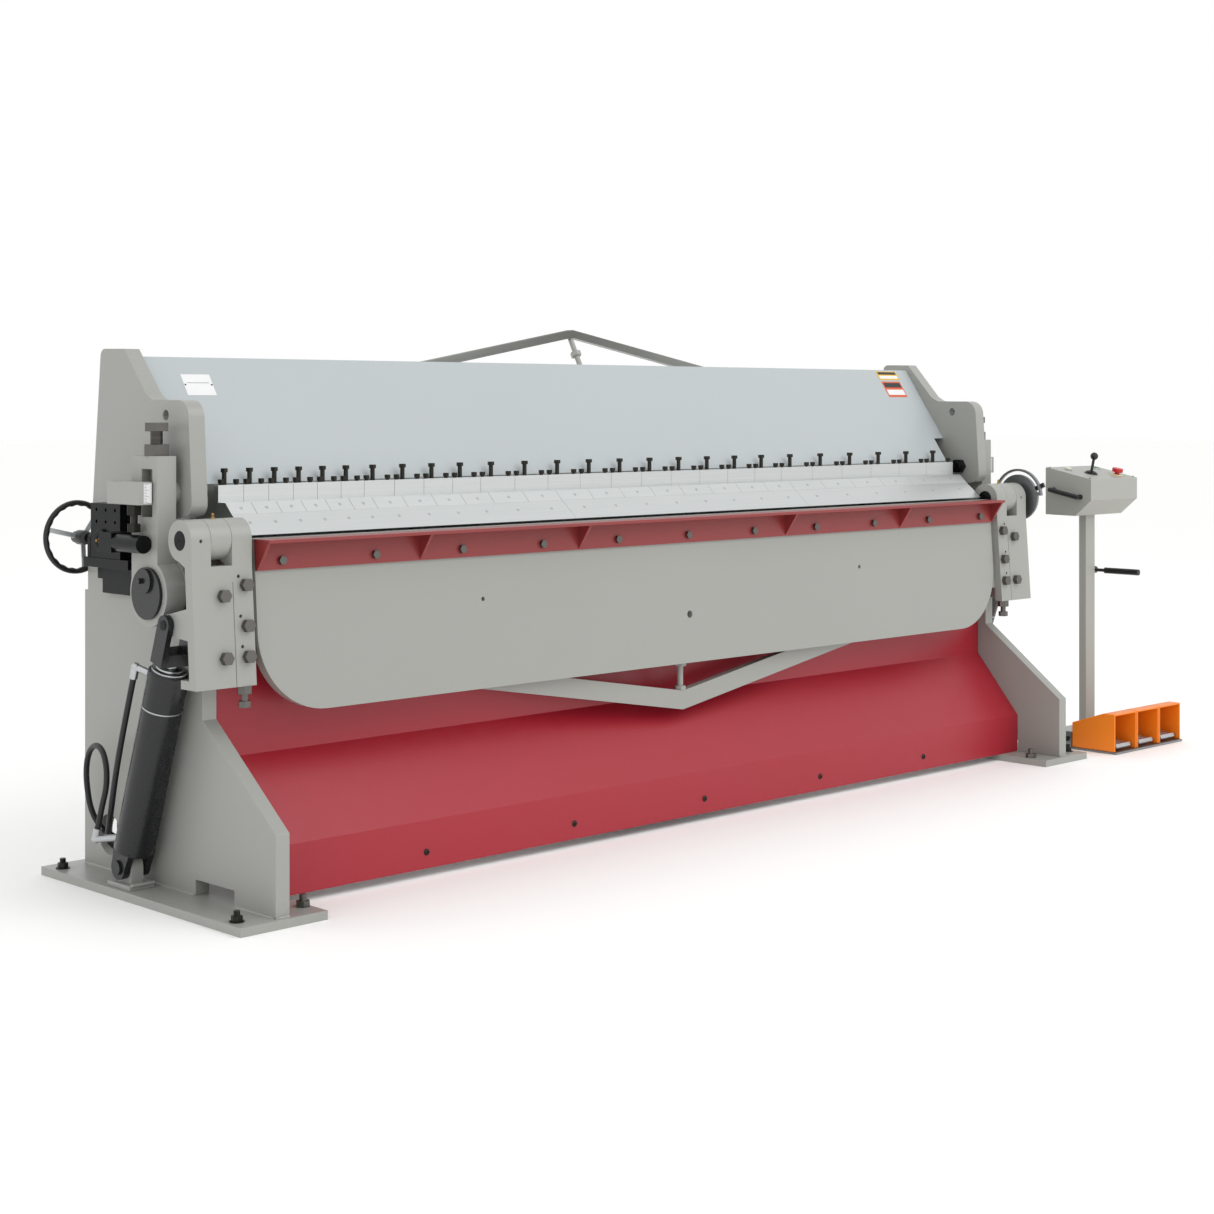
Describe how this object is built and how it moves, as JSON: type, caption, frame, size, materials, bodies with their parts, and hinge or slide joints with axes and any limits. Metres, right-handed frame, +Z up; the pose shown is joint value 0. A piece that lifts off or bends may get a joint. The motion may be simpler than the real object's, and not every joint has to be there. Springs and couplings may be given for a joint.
{
  "type": "sheet metal brake",
  "caption": "Hydraulic box-and-pan sheet metal brake with segmented fingers on a hinged clamp beam, a powered bending leaf, a pendant console and foot pedals.",
  "frame": {"origin": "on the floor, midway between the four anchor holes of the base plates", "axes": "+X along the machine to the operator's right, -Y towards the operator, +Z up"},
  "size_m": [4.1299, 0.932, 1.449],
  "materials": {
    "machine_paint": "gloss",
    "red_paint": "gloss",
    "black_paint": "satin",
    "unit_paint": "satin",
    "ground_steel": "ground",
    "black_oxide": "oiled",
    "bolt_steel": "zinc plated",
    "bronze": "machined",
    "console_paint": "satin",
    "orange_paint": "satin",
    "pedal_aluminium": "ribbed",
    "dial_plate": "satin",
    "black_plastic": "moulded",
    "green_plastic": "moulded",
    "red_plastic": "moulded",
    "hose_rubber": "matt"
  },
  "bodies": {
    "machine": {"base_plates": "machine_paint", "jack_screws": "bolt_steel", "side_frame_left": "machine_paint", "side_frame_right": "machine_paint", "bearing_housings": "machine_paint", "bronze_bushes": "bronze", "bed_blade": "ground_steel", "bed_plate": "machine_paint", "frame_rails": "machine_paint", "front_cover": "red_paint", "leaf_stops": "machine_paint", "cylinder_feet": "machine_paint", "hydraulic_unit": "unit_paint", "setback_brackets": "black_oxide", "console_post": "console_paint", "console_box": "console_paint", "pedal_base": "black_paint", "pedal_hoods": "orange_paint", "pedal_cable": "hose_rubber"},
    "setback_carriage": {"pivot_blocks": "black_oxide", "pivot_pins": "black_oxide"},
    "clamp_beam": {"beam_end_plates": "machine_paint", "beam_plates": "machine_paint", "finger_rail": "ground_steel", "beam_truss": "machine_paint", "fingers_narrow": "ground_steel", "fingers_wide": "ground_steel", "nose_bars": "ground_steel", "finger_bolts": "bolt_steel", "link_pins": "black_oxide", "scale_blocks": "ground_steel"},
    "clamp_link_left": {"link_arm_left": "machine_paint", "pressure_screw_left": "bolt_steel"},
    "clamp_link_right": {"link_arm_right": "machine_paint", "pressure_screw_right": "bolt_steel"},
    "eccentric": {"eccentric_shaft": "ground_steel", "eccentric_covers": "black_paint"},
    "bending_leaf": {"leaf_plate": "machine_paint", "leaf_angle": "red_paint", "leaf_truss": "machine_paint", "hinge_arms": "machine_paint", "leaf_bolts": "bolt_steel", "arm_pins": "black_oxide", "angle_dial": "dial_plate"},
    "barrel_left": {"cylinder_barrel_left": "black_paint", "hose_upper": "hose_rubber", "hose_lower": "hose_rubber"},
    "barrel_right": {"cylinder_barrel_right": "black_paint"},
    "rod_left": {"cylinder_rod_left": "black_paint"},
    "setback_wheel_left": {"handwheel_left": "black_oxide"},
    "rod_right": {"cylinder_rod_right": "black_paint"},
    "setback_wheel_right": {"handwheel_right": "black_oxide"},
    "dial_dog": {"angle_dog": "black_plastic"},
    "joystick": {"joystick": "black_plastic"},
    "start_button": {"start_button": "green_plastic"},
    "emergency_stop": {"emergency_stop": "red_plastic"},
    "post_lever": {"post_lever": "black_plastic"},
    "foot_pedal_left": {"pedal_left": "pedal_aluminium"},
    "foot_pedal_middle": {"pedal_middle": "pedal_aluminium"},
    "foot_pedal_right": {"pedal_right": "pedal_aluminium"}
  },
  "joints": [
    {"name": "setback_slide", "type": "slide", "parent": "machine", "child": "setback_carriage", "axis": [0, 1, 0], "range_m": [0, 0.006]},
    {"name": "beam_clamping", "type": "hinge", "parent": "setback_carriage", "child": "clamp_beam", "pos_m": [0, 0.215, 0.875], "axis": [1, 0, 0], "range_deg": [-7.3, 0.85]},
    {"name": "link_swing_left", "type": "hinge", "parent": "clamp_beam", "child": "clamp_link_left", "pos_m": [-1.6885, -0.022, 1], "axis": [1, 0, 0], "range_deg": [-0.6, 4.4]},
    {"name": "link_swing_right", "type": "hinge", "parent": "clamp_beam", "child": "clamp_link_right", "pos_m": [1.6885, -0.022, 1], "axis": [1, 0, 0], "range_deg": [-0.6, 4.4]},
    {"name": "eccentric_turn", "type": "hinge", "parent": "machine", "child": "eccentric", "pos_m": [0, -0.03957, 0.77179], "axis": [1, 0, 0], "range_deg": [-12, 96]},
    {"name": "leaf_swing", "type": "hinge", "parent": "machine", "child": "bending_leaf", "pos_m": [0, -0.165, 0.892], "axis": [-1, 0, 0], "range_deg": [0, 131]},
    {"name": "cylinder_tilt_left", "type": "hinge", "parent": "machine", "child": "barrel_left", "pos_m": [-1.688, 0.095, 0.073], "axis": [1, 0, 0], "range_deg": [-0.5, 7.2]},
    {"name": "rod_stroke_left", "type": "slide", "parent": "barrel_left", "child": "rod_left", "axis": [0, -0.3286, 0.9445], "range_m": [0, 0.37]},
    {"name": "cylinder_tilt_right", "type": "hinge", "parent": "machine", "child": "barrel_right", "pos_m": [1.688, 0.095, 0.073], "axis": [1, 0, 0], "range_deg": [-0.5, 7.2]},
    {"name": "rod_stroke_right", "type": "slide", "parent": "barrel_right", "child": "rod_right", "axis": [0, -0.3286, 0.9445], "range_m": [0, 0.37]},
    {"name": "setback_wheel_turn_left", "type": "hinge", "parent": "machine", "child": "setback_wheel_left", "pos_m": [-1.656, 0.411, 0.873], "axis": [0, 1, 0], "range_deg": [0, 540]},
    {"name": "setback_wheel_turn_right", "type": "hinge", "parent": "machine", "child": "setback_wheel_right", "pos_m": [1.656, 0.411, 0.873], "axis": [0, 1, 0], "range_deg": [0, 540]},
    {"name": "angle_dog_set", "type": "hinge", "parent": "bending_leaf", "child": "dial_dog", "pos_m": [1.75, -0.165, 0.892], "axis": [1, 0, 0], "range_deg": [-130, 4]},
    {"name": "joystick_tilt", "type": "hinge", "parent": "machine", "child": "joystick", "pos_m": [2.18, -0.182, 0.96306], "axis": [1, 0, 0], "range_deg": [-14, 14], "stiffness_Nm_per_rad": 0.8},
    {"name": "start_button_press", "type": "slide", "parent": "machine", "child": "start_button", "axis": [0, 0.2068, -0.9784], "range_m": [0, 0.004], "stiffness_N_per_m": 400},
    {"name": "emergency_stop_press", "type": "slide", "parent": "machine", "child": "emergency_stop", "axis": [0, 0.2068, -0.9784], "range_m": [0, 0.006]},
    {"name": "post_lever_turn", "type": "hinge", "parent": "machine", "child": "post_lever", "pos_m": [2.246, -0.15, 0.605], "axis": [1, 0, 0], "range_deg": [-60, 40]},
    {"name": "pedal_press_left", "type": "hinge", "parent": "machine", "child": "foot_pedal_left", "pos_m": [1.943, -0.458, 0.022], "axis": [-1, 0, 0], "range_deg": [0, 7], "stiffness_Nm_per_rad": 30, "springref_deg": -5.73},
    {"name": "pedal_press_middle", "type": "hinge", "parent": "machine", "child": "foot_pedal_middle", "pos_m": [2.089, -0.458, 0.022], "axis": [-1, 0, 0], "range_deg": [0, 7], "stiffness_Nm_per_rad": 30, "springref_deg": -5.73},
    {"name": "pedal_press_right", "type": "hinge", "parent": "machine", "child": "foot_pedal_right", "pos_m": [2.235, -0.458, 0.022], "axis": [-1, 0, 0], "range_deg": [0, 7], "stiffness_Nm_per_rad": 30, "springref_deg": -5.73}
  ],
  "couplings": [
    {"joint": "link_swing_left", "follows": "beam_clamping", "ratio": -0.58},
    {"joint": "link_swing_right", "follows": "beam_clamping", "ratio": -0.58},
    {"joint": "eccentric_turn", "follows": "beam_clamping", "ratio": -13},
    {"joint": "cylinder_tilt_left", "follows": "leaf_swing", "ratio": 0.050604},
    {"joint": "cylinder_tilt_right", "follows": "leaf_swing", "ratio": 0.050604},
    {"joint": "rod_stroke_left", "follows": "leaf_swing", "m_per_rad": 0.16127},
    {"joint": "rod_stroke_right", "follows": "leaf_swing", "m_per_rad": 0.16127},
    {"joint": "setback_wheel_turn_left", "follows": "setback_slide", "rad_per_m": 1570.8},
    {"joint": "setback_wheel_turn_right", "follows": "setback_slide", "rad_per_m": 1570.8}
  ]
}
